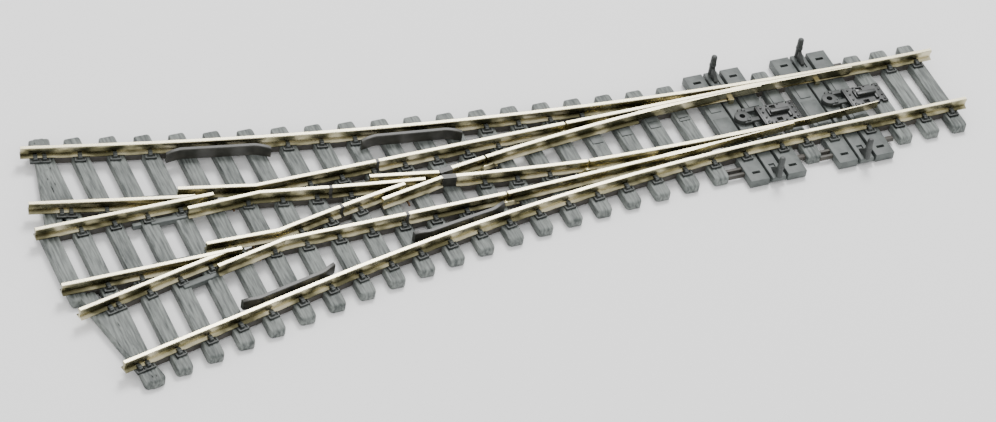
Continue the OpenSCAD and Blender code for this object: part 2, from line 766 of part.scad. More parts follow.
module channel_rooms() {
    // the tie bars slide in these, clear of every web
    for (b = [first_bar_x, second_bar_x])
        translate([b - plate_half_in, -30, 0.46]) cube([2 * plate_half_in, 60, 9]);
}

module sleeper_base() {
    color(PLASTIC) difference() {
        union() {
            for (x = plain_xs) plain_sleeper(x);
            for (b = [first_bar_x, second_bar_x]) plate_pair(b);
            for (side = [-1, 1]) end_sleeper(side);
            heel_sleeper();
            chairs();
            webs();
        }
        fixed_rail_rooms();
        blade_room();
        channel_rooms();
        for (b = [first_bar_x, second_bar_x]) {
            fixing_slots(b);
            spring_room(b);
        }
        clip_room(STRAIGHT, mid, first_heel_x);
        clip_room(RIGHT, -mid, first_heel_x);
        clip_room(LEFT, mid, second_heel_x);
        clip_room(STRAIGHT, -mid, second_heel_x);
    }
}

sleeper_base();
stock_rail_right();
stock_rail_left();
first_blade_right();
first_blade_left();
second_blade_right();
second_blade_left();
closure_rail_right();
closure_rail_left();
inner_closure_right();
inner_closure_left();
centre_frog_point_rail();
centre_frog_splice_rail();
centre_frog_wing_right();
centre_frog_wing_left();
right_frog_point_rail();
right_frog_splice_rail();
right_frog_outer_wing();
right_frog_inner_wing();
left_frog_point_rail();
left_frog_splice_rail();
left_frog_outer_wing();
left_frog_inner_wing();
knuckle_insulator_right();
knuckle_insulator_left();
gap_fillers();
check_rail_right_heel();
check_rail_right_middle();
check_rail_left_heel();
check_rail_left_middle();
first_tie_bar();
second_tie_bar();
first_spring();
second_spring();
first_spring_cover();
second_spring_cover();
first_clip_right();
first_clip_left();
second_clip_right();
second_clip_left();
bond_wire_right();
bond_wire_left();
bond_wire_centre();
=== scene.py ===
import json
import math
import random

import bmesh
import bpy
from mathutils import Matrix, Vector


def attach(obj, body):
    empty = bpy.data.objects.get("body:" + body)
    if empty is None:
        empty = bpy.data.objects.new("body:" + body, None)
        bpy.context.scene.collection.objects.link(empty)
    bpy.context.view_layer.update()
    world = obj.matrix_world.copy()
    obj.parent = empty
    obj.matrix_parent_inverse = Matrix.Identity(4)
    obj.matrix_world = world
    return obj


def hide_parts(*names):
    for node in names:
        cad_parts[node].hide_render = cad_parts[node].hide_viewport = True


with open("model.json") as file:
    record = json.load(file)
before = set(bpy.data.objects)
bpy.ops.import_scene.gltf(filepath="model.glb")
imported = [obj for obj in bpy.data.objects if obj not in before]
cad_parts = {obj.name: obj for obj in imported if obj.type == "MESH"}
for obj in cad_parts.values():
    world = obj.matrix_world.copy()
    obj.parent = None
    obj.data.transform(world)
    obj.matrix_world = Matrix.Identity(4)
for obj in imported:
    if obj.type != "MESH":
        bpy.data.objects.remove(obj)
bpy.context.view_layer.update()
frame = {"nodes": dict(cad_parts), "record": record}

MM = 0.001
SHARP_ANGLE = math.radians(35)  # edges that turn more than this stay sharp
rng = random.Random(7)

# ---- sizes of the turnout, in millimetres, as the CAD part has them ----
STRAIGHT, RIGHT, LEFT = 0, 1, -1
MID = 8.75                      # route centre to rail centre
HEEL_ANGLE = math.radians(12.5)
START_X = {RIGHT: 108.0, LEFT: 75.3}
RADIUS = {RIGHT: 920.0, LEFT: 622.0}
SLEEPER_H = 2.0
SLEEPER_W = 3.75
SLEEPER_OVER = 5.9
PITCH = 7.57
FIRST_SLEEPER_X = -99.8
HEEL_END_X = -105.0
FOOT_HALF = 1.05
Z_FOOT = 2.26
Z_TOP = 4.8
BARS = {"first": 79.65, "second": 57.0}
FIRST_HEEL_X = 15.5
SECOND_HEEL_X = -6.6
KNUCKLE_X = -17.1
PLATE_IN = 2.35
PLATE_W = 4.75
PLATE_END_Y = 18.2
SLOT_PITCH = 9.3
SLOT_SPAN = 31.1
BOSS_Y = 1.5
BAR_Z0, BAR_Z1 = 0.6, 1.85      # underside and top of a tie bar
BAR_HALF_Y = 18.4
POST_Y = 17.8
COVER_NEAR = 4.2                # from a tie bar to its spring cover
COVER_L = 9.6
COVER_Y0, COVER_Y1 = -2.3, 3.9
CHECK_RAIL_XS = {"heel": -51.6, "middle": -8.3}
PLAIN_XS = [FIRST_SLEEPER_X + i * PITCH for i in range(20)] + [68, 91.9, 98.95, 106.1]
PLATE_XS = [bar + s * (PLATE_IN + PLATE_W / 2) for bar in BARS.values() for s in (-1, 1)]


def line_radius(route, off):
    return RADIUS[route] - route * off


def turned(route, off, x):
    """Angle that a line has turned through at x."""
    if route == STRAIGHT or x >= START_X[route]:
        return 0.0
    ratio = (START_X[route] - x) / line_radius(route, off)
    return HEEL_ANGLE if ratio >= math.sin(HEEL_ANGLE) else math.asin(ratio)


def line_y(route, off, x):
    """Across-track place of the line at x."""
    if route == STRAIGHT or x >= START_X[route]:
        return off
    y = route * (RADIUS[route] - line_radius(route, off) * math.cos(turned(route, off, x)))
    end_x = START_X[route] - line_radius(route, off) * math.sin(HEEL_ANGLE)
    if x < end_x:
        y += route * (end_x - x) * math.tan(HEEL_ANGLE)
    return y


def place(route, off, x, z=0.0):
    """Matrix that stands something on a line at x, its X axis along the rail."""
    turn = Matrix.Rotation(-route * turned(route, off, x), 4, "Z")
    return Matrix.Translation((x, line_y(route, off, x), z)) @ turn


# ---- mesh making ----
class Pile:
    """Vertices and faces of one piece, in millimetres."""

    def __init__(self):
        self.verts, self.faces = [], []

    def add(self, verts, faces, matrix=None):
        first = len(self.verts)
        matrix = matrix or Matrix.Identity(4)
        flip = matrix.determinant() < 0
        self.verts += [matrix @ Vector(v) for v in verts]
        for face in faces:
            ids = [first + i for i in face]
            self.faces.append(ids[::-1] if flip else ids)

    def loft(self, rings, matrix=None):
        """Joins closed rings of equal length, and caps both ends."""
        n = len(rings[0])
        verts = [p for ring in rings for p in ring]
        faces = []
        for k in range(len(rings) - 1):
            for i in range(n):
                j = (i + 1) % n
                faces.append([k * n + i, k * n + j, (k + 1) * n + j, (k + 1) * n + i])
        faces.append(list(range(n))[::-1])
        faces.append([(len(rings) - 1) * n + i for i in range(n)])
        self.add(verts, faces, matrix)

    def block(self, low, high, bevel, matrix=None, segments=2):
        """Box from low to high with rounded edges."""
        verts, faces = rounded_box(low, high, bevel, segments)
        self.add(verts, faces, matrix)

    def post(self, centre, radius, z0, z1, bevel, sides=24, matrix=None):
        """Upright cylinder with a rounded top edge."""
        rings = []
        for z, r in ((z0, radius), (z1 - bevel, radius), (z1 - bevel * 0.3, radius - bevel * 0.3),
                     (z1, radius - bevel)):
            rings.append([(centre[0] + r * math.cos(2 * math.pi * i / sides),
                           centre[1] + r * math.sin(2 * math.pi * i / sides), z)
                          for i in range(sides)])
        self.loft(rings, matrix)

    def mesh(self, name):
        """The pile as a mesh in metres, its faces turned outwards."""
        mesh = bpy.data.meshes.new(name)
        mesh.from_pydata([v * MM for v in self.verts], [], self.faces)
        bm = bmesh.new()
        bm.from_mesh(mesh)
        bmesh.ops.recalc_face_normals(bm, faces=bm.faces)
        bm.to_mesh(mesh)
        bm.free()
        return mesh

    def make(self, name, body, material):
        """Makes the pile a piece of the model that rides on a body."""
        mesh = self.mesh(name)
        mesh.update()
        mesh.set_sharp_from_angle(angle=SHARP_ANGLE)
        mesh.polygons.foreach_set("use_smooth", [True] * len(mesh.polygons))
        obj = bpy.data.objects.new(name, mesh)
        bpy.context.collection.objects.link(obj)
        mesh.materials.append(material)
        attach(obj, body)
        return obj


_boxes = {}


def rounded_box(low, high, bevel, segments):
    size = tuple(round(h - l, 4) for l, h in zip(low, high))
    key = (size, bevel, segments)
    if key not in _boxes:
        bm = bmesh.new()
        bmesh.ops.create_cube(bm, size=1.0)
        bmesh.ops.scale(bm, vec=size, verts=bm.verts)
        bmesh.ops.bevel(bm, geom=bm.edges[:] + bm.verts[:], offset=bevel, segments=segments,
                        affect="EDGES", profile=0.5)
        bm.verts.index_update()
        _boxes[key] = ([tuple(v.co) for v in bm.verts],
                       [[v.index for v in f.verts] for f in bm.faces])
        bm.free()
    verts, faces = _boxes[key]
    mid = [(l + h) / 2 for l, h in zip(low, high)]
    return [tuple(c + m for c, m in zip(v, mid)) for v in verts], faces


def cut(obj, cutters):
    """Cuts the shapes of a pile out of a piece."""
    tool = bpy.data.objects.new("cutter", cutters.mesh("cutter"))
    bpy.context.collection.objects.link(tool)
    modifier = obj.modifiers.new("cut", "BOOLEAN")
    modifier.object, modifier.operation, modifier.solver = tool, "DIFFERENCE", "EXACT"
    modifier.use_self = True
    bpy.context.view_layer.update()
    evaluated = obj.evaluated_get(bpy.context.evaluated_depsgraph_get())
    result = bpy.data.meshes.new_from_object(evaluated)
    obj.modifiers.clear()
    obj.data = result
    result.set_sharp_from_angle(angle=SHARP_ANGLE)
    bpy.data.objects.remove(tool)


# ---- materials ----
def new_material(name):
    mat = bpy.data.materials.new(name)
    mat.use_nodes = True
    return mat, mat.node_tree, mat.node_tree.nodes["Principled BSDF"]


def noise(tree, scale, detail=4.0, stretch=(1, 1, 1)):
    """Noise in object space, scale per metre, stretched along an axis."""
    coords = tree.nodes.new("ShaderNodeTexCoord")
    mapping = tree.nodes.new("ShaderNodeMapping")
    mapping.inputs["Scale"].default_value = stretch
    texture = tree.nodes.new("ShaderNodeTexNoise")
    texture.inputs["Scale"].default_value = scale
    texture.inputs["Detail"].default_value = detail
    tree.links.new(coords.outputs["Object"], mapping.inputs["Vector"])
    tree.links.new(mapping.outputs["Vector"], texture.inputs["Vector"])
    return texture.outputs["Fac"]


def ramp(tree, value, stops):
    node = tree.nodes.new("ShaderNodeValToRGB")
    for element, (at, colour) in zip(node.color_ramp.elements, (stops[0], stops[-1])):
        element.position, element.color = at, (*colour, 1)
    for at, colour in stops[1:-1]:
        element = node.color_ramp.elements.new(at)
        element.color = (*colour, 1)
    tree.links.new(value, node.inputs["Fac"])
    return node.outputs["Color"]


def bump(tree, shader, height, strength, distance):
    node = tree.nodes.new("ShaderNodeBump")
    node.inputs["Strength"].default_value = strength
    node.inputs["Distance"].default_value = distance
    tree.links.new(height, node.inputs["Height"])
    tree.links.new(node.outputs["Normal"], shader.inputs["Normal"])


def rough_from(tree, shader, value, low, high):
    node = tree.nodes.new("ShaderNodeMapRange")
    node.inputs["To Min"].default_value = low
    node.inputs["To Max"].default_value = high
    tree.links.new(value, node.inputs["Value"])
    tree.links.new(node.outputs["Result"], shader.inputs["Roughness"])


def plastic(name, dark, light, grain=(500, (1, 1, 1)), low=0.42, high=0.62, depth=0.00003):
    mat, tree, shader = new_material(name)
    fine = noise(tree, grain[0], 6.0, grain[1])
    patches = noise(tree, 90, 3.0)
    blend = tree.nodes.new("ShaderNodeMix")
    blend.data_type = "FLOAT"
    blend.inputs[0].default_value = 0.3
    tree.links.new(fine, blend.inputs[2])
    tree.links.new(patches, blend.inputs[3])
    colour = ramp(tree, blend.outputs[0], [(0.38, dark), (0.62, light)])
    tree.links.new(colour, shader.inputs["Base Color"])
    rough_from(tree, shader, fine, low, high)
    bump(tree, shader, fine, 0.5, depth)
    return mat


def rail_metal():
    """Nickel silver: drawn sides painted darker as shade, in patches, and the up-facing top painted
    lighter as a highlight.
    """
    mat, tree, shader = new_material("rail_nickel_silver")
    shader.inputs["Metallic"].default_value = 1.0
    shader.inputs["IOR"].default_value = 1.6
    along = noise(tree, 2600, 3.0, (0.03, 1, 1))
    patches = noise(tree, 210, 2.0, (0.7, 1, 1))
    # painted shade: dark to mid colour for the rail sides, in random patches along the rail
    side = ramp(tree, patches, [(0.40, (0.13, 0.12, 0.065)), (0.50, (0.36, 0.33, 0.20)),
                                (0.62, (0.60, 0.55, 0.38))])
    geometry = tree.nodes.new("ShaderNodeNewGeometry")
    split = tree.nodes.new("ShaderNodeSeparateXYZ")
    tree.links.new(geometry.outputs["True Normal"], split.inputs["Vector"])
    height = tree.nodes.new("ShaderNodeSeparateXYZ")
    tree.links.new(geometry.outputs["Position"], height.inputs["Vector"])
    highlight_facing = tree.nodes.new("ShaderNodeMapRange")
    highlight_facing.inputs["From Min"].default_value = 0.5
    highlight_facing.inputs["From Max"].default_value = 0.9
    tree.links.new(split.outputs["Z"], highlight_facing.inputs["Value"])
    above = tree.nodes.new("ShaderNodeMath")
    above.operation = "GREATER_THAN"
    above.inputs[1].default_value = (Z_TOP - 0.5) * MM
    tree.links.new(height.outputs["Z"], above.inputs[0])
    top = tree.nodes.new("ShaderNodeMath")
    top.operation = "MULTIPLY"
    tree.links.new(highlight_facing.outputs["Result"], top.inputs[0])
    tree.links.new(above.outputs[0], top.inputs[1])
    # painted highlight: the lighter colour goes on up-facing faces at the rail top
    mix = tree.nodes.new("ShaderNodeMix")
    mix.data_type = "RGBA"
    mix.inputs[7].default_value = (0.74, 0.68, 0.48, 1)
    tree.links.new(top.outputs[0], mix.inputs[0])
    tree.links.new(side, mix.inputs[6])
    tree.links.new(mix.outputs[2], shader.inputs["Base Color"])
    rough_from(tree, shader, along, 0.2, 0.34)
    bump(tree, shader, along, 0.15, 0.00001)
    return mat


def metal(name, dark, light, low, high, scale=900):
    mat, tree, shader = new_material(name)
    shader.inputs["Metallic"].default_value = 1.0
    value = noise(tree, scale, 4.0)
    tree.links.new(ramp(tree, value, [(0.35, dark), (0.65, light)]), shader.inputs["Base Color"])
    rough_from(tree, shader, value, low, high)
    bump(tree, shader, value, 0.15, 0.00001)
    return mat


SLEEPER = plastic("sleeper_plastic", (0.045, 0.054, 0.050), (0.190, 0.208, 0.195),
                  (900, (2.2, 0.22, 1)), 0.45, 0.68, 0.00012)
SMOOTH = plastic("smooth_plastic", (0.055, 0.064, 0.061), (0.105, 0.118, 0.112))
# chairs: the sleeper plastic painted darker as shade, for the occlusion around the rails
SHADED_CHAIR = plastic("chair_plastic_painted_shade", (0.030, 0.034, 0.032), (0.064, 0.071, 0.067))
BOSS = plastic("boss_plastic", (0.026, 0.029, 0.028), (0.050, 0.056, 0.053))
# webs: painted shade, a dark warm colour for the webs in shadow under the rails
SHADED_WEB = plastic("web_plastic_painted_shade", (0.030, 0.027, 0.022), (0.058, 0.052, 0.043))
COVER = plastic("cover_plastic", (0.012, 0.013, 0.013), (0.028, 0.031, 0.030), low=0.3, high=0.5)
BLACK = plastic("check_rail_plastic", (0.020, 0.020, 0.016), (0.045, 0.044, 0.037),
                low=0.28, high=0.45)
RAIL = rail_metal()
CLIP = metal("clip_brass", (0.45, 0.40, 0.22), (0.66, 0.60, 0.38), 0.22, 0.36)
SPRING = metal("spring_wire", (0.5, 0.5, 0.5), (0.7, 0.7, 0.69), 0.15, 0.3)
COPPER = metal("copper_wire", (0.12, 0.075, 0.05), (0.20, 0.13, 0.09), 0.4, 0.6)
SLOT_MATERIALS = {"rail_metal": RAIL, "black_plastic": BLACK, "cover_plastic": COVER,
                  "clip_metal": CLIP, "spring_wire": SPRING, "copper_wire": COPPER,
                  "bar_plastic": SMOOTH, "sleeper_plastic": SLEEPER}


def finish_cad_nodes():
    for row in frame["record"]["subparts"]:
        node = frame["nodes"][row["node"]]
        node.data.materials.clear()
        node.data.materials.append(SLOT_MATERIALS[row["material_slot"]])


# ---- sleepers ----
def grain(u, v, seed):
    """Depth of the wood grain at a place on a sleeper, from 0 to 1."""
    wave = 0.35 * math.sin(v * 0.55 + seed) + 0.2 * math.sin(v * 1.7 + seed * 2.3)
    lines = math.sin(u * 7.0 + wave * 3 + seed * 5) + 0.6 * math.sin(u * 13 + wave * 5 + seed)
    return max(0.0, lines) / 1.6


def add_sleeper(pile, length, matrix, width=SLEEPER_W, depth=0.09):
    """Moulded sleeper with grained top and rounded ends, lying along Y from 0."""
    seed = rng.uniform(0, 6)
    across = 16
    ends = [(0, 0.62, 0.5), (0.16, 0.34, 0.24), (0.42, 0.12, 0.08), (0.8, 0.03, 0.02)]
    inner_n = max(6, int((length - 2.6) / 0.55))
    stations = list(ends)
    stations += [(1.3 + (length - 2.6) * i / inner_n, 0, 0) for i in range(inner_n + 1)]
    stations += [(length - y, inset, drop) for y, inset, drop in reversed(ends)]
    rings = []
    for y, inset, drop in stations:
        half = width / 2 - inset
        top = SLEEPER_H - drop
        ring = [(-half + 0.05, y, 0), (-half, y, 0.12), (-half, y, top - 0.3),
                (-half + 0.06, y, top - 0.1)]
        for i in range(across + 1):
            u = -half + 0.18 + (2 * half - 0.36) * i / across
            ring.append((u, y, top - depth * grain(u, y, seed) * (inset < 0.2)))
        ring += [(half - 0.06, y, top - 0.1), (half, y, top - 0.3), (half, y, 0.12),
                 (half - 0.05, y, 0)]
        rings.append(ring)
    pile.loft(rings, matrix)


def right_y(x):
    return line_y(RIGHT, MID, x)


def left_y(x):
    return line_y(LEFT, -MID, x)


def make_sleepers():
    pile = Pile()
    for x in PLAIN_XS:
        y0 = left_y(x) - SLEEPER_OVER
        add_sleeper(pile, right_y(x) + SLEEPER_OVER - y0, Matrix.Translation((x, y0, 0)))
    reach = MID + SLEEPER_OVER
    for side in (RIGHT, LEFT):
        x = HEEL_END_X + 3.2
        turn = Matrix.Rotation(-side * HEEL_ANGLE, 4, "Z")
        matrix = (Matrix.Translation((x, line_y(side, 0, x), 0)) @ turn
                  @ Matrix.Translation((0, -reach, 0)))
        add_sleeper(pile, 2 * reach, matrix)
    short = MID + 3
    add_sleeper(pile, 2 * short, Matrix.Translation((-106.7, -short, 0)))
    obj = pile.make("sleepers", "base", SLEEPER)
    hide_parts("sleeper_base")


# ---- chairs ----
def add_chair_side(pile, matrix, s):
    """Half a chair, on the side s of a rail: a flanged plate with a key against the rail."""
    inner = FOOT_HALF + 0.02
    z = SLEEPER_H - 0.12

    def block(x0, x1, d0, d1, z0, z1, bevel=0.07):
        ys = sorted((s * d0, s * d1))
        pile.block((x0, ys[0], z0), (x1, ys[1], z1), bevel, matrix)

    block(-1.25, 1.25, inner - 0.25, inner + 1.35, z, SLEEPER_H + 0.28)
    block(-1.25, -0.9, inner, inner + 1.35, z, SLEEPER_H + 0.55)
    block(0.9, 1.25, inner, inner + 1.35, z, SLEEPER_H + 0.55)
    block(-1.25, 1.25, inner + 1.02, inner + 1.35, z, SLEEPER_H + 0.5)
    # key over the rail foot, against the web
    block(-0.45, 0.45, 0.42, inner + 0.45, Z_FOOT + 0.42, SLEEPER_H + 1.08, 0.1)
    block(-0.45, 0.45, inner, inner + 0.75, z, SLEEPER_H + 0.9, 0.1)


def chair_sites():
    """Every chair as (route, offset, x, sides that it has)."""
    sites = []
    for x in PLAIN_XS + PLATE_XS:
        inner_right = x < 30 or x > 95
        inner_left = x < 7 or x > 95
        sites.append((RIGHT, MID, x, (1, -1) if inner_right else (1,)))
        sites.append((LEFT, -MID, x, (-1, 1) if inner_left else (-1,)))
        at_knuckle = abs(x - KNUCKLE_X) <= 1.0
        if x < FIRST_HEEL_X - 3:
            sites.append((STRAIGHT, MID, x, (1, -1)))
            if not at_knuckle:
                sites.append((RIGHT, -MID, x, (1, -1)))
        if x < SECOND_HEEL_X - 3:
            sites.append((STRAIGHT, -MID, x, (1, -1)))
            if not at_knuckle:
                sites.append((LEFT, MID, x, (1, -1)))
    for side in (RIGHT, LEFT):
        for off in (-MID, MID):
            sites.append((side, off, HEEL_END_X + 3.2, (1, -1)))
    return sites


def crowded(route, off, x, s):
    """True where another rail stands in the way of this half chair."""
    y = line_y(route, off, x) + s * 2.0
    for other, other_off in ((STRAIGHT, MID), (STRAIGHT, -MID), (RIGHT, MID), (RIGHT, -MID),
                             (LEFT, MID), (LEFT, -MID)):
        if (other, other_off) == (route, off):
            continue
        if abs(line_y(other, other_off, x) - y) < 1.9:
            return True
    return False


def make_chairs():
    pile = Pile()
    for route, off, x, sides in chair_sites():
        matrix = place(route, off, x)
        pile.block((-1.15, -1.1, SLEEPER_H - 0.1), (1.15, 1.1, Z_FOOT - 0.01), 0.04, matrix)
        for s in sides:
            if not crowded(route, off, x, s):
                add_chair_side(pile, matrix, s)
    pile.make("chairs", "base", SHADED_CHAIR)


# ---- webs, plates and slide chairs ----
def add_run(pile, route, off, xa, xb, half, z0, z1, bevel=0.12):
    """A rounded strip along a line from xa down to xb."""
    steps = max(2, int((xa - xb) / 4))
    rings = []
    for i in range(steps + 1):
        m = place(route, off, xa + (xb - xa) * i / steps)
        section = [(-half, z0), (half, z0), (half, z1 - bevel), (half - bevel, z1),
                   (-half + bevel, z1), (-half, z1 - bevel)]
        rings.append([m @ Vector((0, y, z)) for y, z in section])
    pile.loft(rings)


def make_webs():
    pile = Pile()
    z0, z1, half = 0.5, 1.85, 0.85
    for route, off, xa, xb in ((RIGHT, MID, 106, 87), (RIGHT, MID, 72, 64), (RIGHT, MID, 50, -100),
                               (LEFT, -MID, 106, 87), (LEFT, -MID, 72, 64), (LEFT, -MID, 50, -100),
                               (STRAIGHT, MID, 46, -106), (STRAIGHT, -MID, 46, -106),
                               (RIGHT, -MID, 14, -104), (LEFT, MID, -4, -104)):
        add_run(pile, route, off, xa, xb, half, z0, z1)
    for x in (45.5, 69.3):
        for y in (-13, -14.6):
            pile.block((x, y - 0.35, z0), (x + 4.6, y + 0.35, 1.6), 0.08)
    for bar in BARS.values():
        for y in (-13, 13):
            pile.block((bar + PLATE_IN + 1, y - 0.5, z0), (bar + 9.4, y + 0.5, 1.5), 0.08)
    pile.make("webs", "base", SHADED_WEB)


def make_plates():
    plates = Pile()
    slots = Pile()
    for bar in BARS.values():
        for s in (-1, 1):
            x = bar + s * (PLATE_IN + PLATE_W / 2)
            plates.block((x - PLATE_W / 2, -PLATE_END_Y, 0),
                         (x + PLATE_W / 2, PLATE_END_Y, SLEEPER_H), 0.14, segments=3)
            for sy in (-1, 1):
                cx, cy = bar + s * SLOT_PITCH / 2, sy * SLOT_SPAN / 2
                slots.add(*rounded_box((cx - 1.0, cy - 0.4, -1), (cx + 1.0, cy + 0.4, 3), 0.12, 2))
        for y in (-PLATE_END_Y + 0.4, PLATE_END_Y - 6.4):
            plates.block((bar - PLATE_IN - 0.2, y, 0.02), (bar + PLATE_IN + 0.2, y + 6, 0.45), 0.05)
        # well under the spring cover
        slots.add(*rounded_box((bar + 2.6, -1.9, 1.1), (bar + 14.5, 3.5, 3), 0.1, 1))
        # hollow beside it under the plate, which the spring enters when its bar is thrown
        slots.add(*rounded_box((bar + 2.6, -5.4, 1.25), (bar + 14.5, -1.7, 1.88), 0.05, 1))
    obj = plates.make("switch_plates", "base", SMOOTH)
    cut(obj, slots)


def make_slide_chairs():
    """Smooth pads that the blades slide on, on every sleeper under them."""
    pile = Pile()
    z0, z1 = SLEEPER_H - 0.1, Z_FOOT - 0.08
    for x in PLAIN_XS + PLATE_XS:
        if not FIRST_HEEL_X + 3 < x < 88:
            continue
        hi = right_y(x) - FOOT_HALF - 0.1
        lo = left_y(x) + FOOT_HALF + 0.1
        half = 1.3
        width = 4.2
        pile.block((x - half, hi - width, z0), (x + half, hi, z1), 0.05)
        pile.block((x - half, lo, z0), (x + half, lo + width, z1), 0.05)
        inner = line_y(RIGHT, -MID, x) + 1.2
        if x < 50:
            pile.block((x - half, max(lo + width + 0.3, inner - 1.5), z0),
                       (x + half, inner + 2.4, z1), 0.05)
            pile.block((x - half, line_y(LEFT, MID, x) - 3.4, z0),
                       (x + half, hi - width - 0.3, z1), 0.05)
    # plain square pads beside the two bars
    for bar in BARS.values():
        x = bar - PLATE_IN - PLATE_W / 2
        pile.block((x - 1.9, -2.2, z0), (x + 1.9, 3.0, SLEEPER_H + 0.1), 0.06)
    pile.make("slide_chairs", "base", SMOOTH)


def make_frog_strips():
    """Raised flangeway floors beside the noses of the outer frogs."""
    pile = Pile()
    for side in (1, -1):
        tilt = Matrix.Rotation(-side * HEEL_ANGLE * 0.9, 4, "Z")
        matrix = Matrix.Translation((-80.0, side * 13.1, 0)) @ tilt
        pile.block((-4.6, -0.75, 0.9), (4.6, 0.75, 2.35), 0.16, matrix, 3)
        matrix = Matrix.Translation((-80.3, side * 6.4, 0))
        pile.block((-4.2, -0.75, 0.9), (4.2, 0.75, 2.35), 0.16, matrix, 3)
        pile.block((-8.4, -0.5, 1.2), (-6.4, 0.5, 2.5), 0.14, matrix, 2)
    pile.make("flangeway_strips", "base", SMOOTH)


# ---- check rails ----
def make_check_rail(name, side, x0):
    """Thin moulded rail beside a stock rail, flared at both ends."""
    thickness, way, length, flare_l, flare = 1.0, 1.35, 23.0, 3.5, 1.1
    off = side * (16.5 / 2 - way - thickness / 2)
    pile = Pile()
    rings = []
    steps = 30
    for i in range(steps + 1):
        t = length * i / steps
        x = x0 - t
        near = min(t, length - t)
        out = flare * max(0.0, 1 - near / flare_l) ** 1.15
        m = place(side, off, x)
        half = thickness / 2
        top = Z_TOP - 0.05 - 0.25 * max(0.0, 1 - near / 1.2)
        section = [(-half, SLEEPER_H), (half, SLEEPER_H), (half, top - 0.14),
                   (half - 0.14, top), (-half + 0.14, top), (-half, top - 0.14)]
        rings.append([m @ Vector((0, y - side * out, z)) for y, z in section])
    pile.loft(rings)
    obj = pile.make(name + "_moulding", "base", BLACK)
    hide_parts(name)


# ---- tie bars ----
def make_tie_bar(name, bar_x):
    body = name + "_bar"
    pile = Pile()
    z1 = BAR_Z1
    pile.block((bar_x - 1.7, -BAR_HALF_Y, BAR_Z0), (bar_x + 1.7, BAR_HALF_Y, z1), 0.16, segments=3)
    obj = pile.make(name + "_bar_beam", body, SMOOTH)
    holes = Pile()
    for y in (-15.2, 15.2):
        holes.add(*rounded_box((bar_x - 0.75, y - 1.5, 1.45), (bar_x + 0.75, y + 1.5, 3), 0.1, 2))
    cut(obj, holes)
    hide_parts(name + "_tie_bar")

    boss = Pile()
    boss.post((bar_x, BOSS_Y), 1.8, z1 - 0.1, 3.0, 0.12, 40)
    boss.block((bar_x - 0.1, BOSS_Y - 2.1, z1 - 0.1), (bar_x + 1.7, BOSS_Y + 2.6, 2.75), 0.1)
    boss.block((bar_x + 1.0, BOSS_Y - 1.9, 2.1), (bar_x + 3.8, BOSS_Y - 0.7, 2.7), 0.1)
    boss.block((bar_x + 1.0, BOSS_Y + 1.3, 2.1), (bar_x + 3.8, BOSS_Y + 2.5, 2.7), 0.1)
    boss.block((bar_x + 0.7, BOSS_Y + 1.5, 2.6), (bar_x + 1.5, BOSS_Y + 2.3, 3.1), 0.1)
    boss.block((bar_x + 0.7, BOSS_Y - 1.8, 2.6), (bar_x + 1.5, BOSS_Y - 1.0, 3.1), 0.1)
    drive = boss.make(name + "_drive_boss", body, BOSS)
    bore = Pile()
    bore.post((bar_x, BOSS_Y), 0.7, -1, 5, 0.01, 32)
    cut(drive, bore)
    cut(obj, bore)

    posts = Pile()
    for s in (-1, 1):
        y = s * POST_Y
        rings = []
        for z, r in ((z1 - 0.2, 0.78), (4.3, 0.74), (4.42, 0.84), (4.8, 0.84), (4.92, 0.74),
                     (6.9, 0.72), (7.2, 0.62), (7.38, 0.36)):
            turns = [math.pi * i / 8 for i in range(16)]
            rings.append([(bar_x + r * math.cos(a), y + r * math.sin(a), z) for a in turns])
        posts.loft(rings)
        # sloping buttress that carries the post
        y0, y1 = sorted((y - s * 0.2, y - s * 2.9))
        low = [(bar_x - 0.55, y0, z1 - 0.1), (bar_x + 0.55, y0, z1 - 0.1),
               (bar_x + 0.55, y1, z1 - 0.1), (bar_x - 0.55, y1, z1 - 0.1)]
        top0, top1 = (4.3, z1 + 0.1) if s < 0 else (z1 + 0.1, 4.3)
        high = [(bar_x - 0.42, y0, top0), (bar_x + 0.42, y0, top0),
                (bar_x + 0.42, y1, top1), (bar_x - 0.42, y1, top1)]
        posts.loft([low, high])
    posts.make(name + "_bar_posts", body, BOSS)


# ---- spring covers ----
def make_cover(name, bar_x):
    """Cover plate over an over-centre spring: rib, rims, two holes and rows of pips."""
    x0, y0, y1 = bar_x + COVER_NEAR, COVER_Y0, COVER_Y1
    z1 = 2.55
    pile = Pile()
    pile.block((x0, y0, SLEEPER_H), (x0 + COVER_L, y1, z1), 0.1, segments=3)
    obj = pile.make(name + "_cover_plate", "base", COVER)
    holes = Pile()
    for y in (y0 + 1.0, y1 - 1.0):
        holes.add(*rounded_box((x0 + 3.5, y - 0.55, -1), (x0 + 5.0, y + 0.55, 4), 0.1, 2))
    for y in (y0 - 0.3, y1 - 0.7):
        holes.add(*rounded_box((x0 + 7.4, y, -1), (x0 + 8.2, y + 1.0, 4), 0.08, 1))
    cut(obj, holes)
    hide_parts(name + "_spring_cover")
    top = Pile()
    top.block((x0 + 2.6, 0.3, z1 - 0.1), (x0 + 7.4, 1.3, z1 + 1.0), 0.16, segments=3)
    top.block((x0 + 2.3, 0.1, z1 - 0.1), (x0 + 3.1, 2.6, z1 + 0.45), 0.1)
    top.block((x0 + 6.9, -1.2, z1 - 0.1), (x0 + 7.7, 1.6, z1 + 0.45), 0.1)
    top.block((x0, y0, z1 - 0.1), (x0 + 0.5, y1, z1 + 0.25), 0.08)
    top.block((x0 + 1.0, y0 + 0.1, z1 - 0.1), (x0 + 2.1, y0 + 0.6, z1 + 0.25), 0.08)
    for y in (y0 + 0.8, y0 + 2.2, y1 - 2.2, y1 - 0.8):
        top.post((x0 + 1.35, y), 0.26, z1 - 0.1, z1 + 0.28, 0.08, 16)
        top.post((x0 + 8.9, y), 0.26, z1 - 0.1, z1 + 0.28, 0.08, 16)
    for x in (x0 + 3.0, x0 + 5.8):
        for y in (y0 + 0.4, y1 - 0.35):
            top.post((x, y), 0.24, z1 - 0.1, z1 + 0.26, 0.08, 16)
    top.make(name + "_cover_details", "base", COVER)


